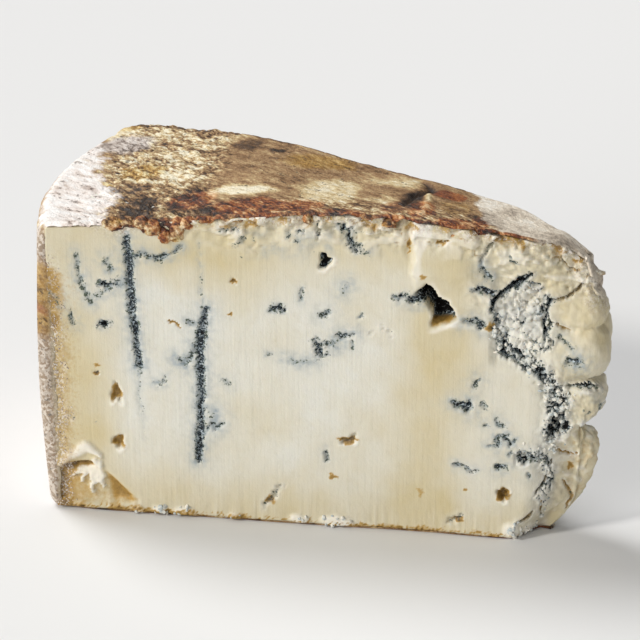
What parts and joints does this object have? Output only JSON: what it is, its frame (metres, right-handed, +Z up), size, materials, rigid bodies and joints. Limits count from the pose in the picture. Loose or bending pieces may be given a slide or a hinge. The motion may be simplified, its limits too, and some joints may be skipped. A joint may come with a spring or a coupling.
{
  "type": "blue cheese wedge",
  "caption": "Wedge cut from a low round blue cheese: smooth front cut with mould veins and eyes, brushed brown rind on the top and outer side, crumbled tip.",
  "frame": {"origin": "middle of the footprint's bounding box, on the surface that the wedge stands on", "axes": "+X along the front cut from the outer rind to the broken tip, +Y from the front cut into the wedge, +Z up"},
  "size_m": [0.1674, 0.0832, 0.0972],
  "materials": {
    "paste": "moist cream-ivory cheese paste, waxy and slightly translucent, with blue mould",
    "rind": "dry brushed brown natural rind with a pale powdery bloom"
  },
  "bodies": {
    "root": {"cheese_wedge": "paste"}
  },
  "joints": []
}
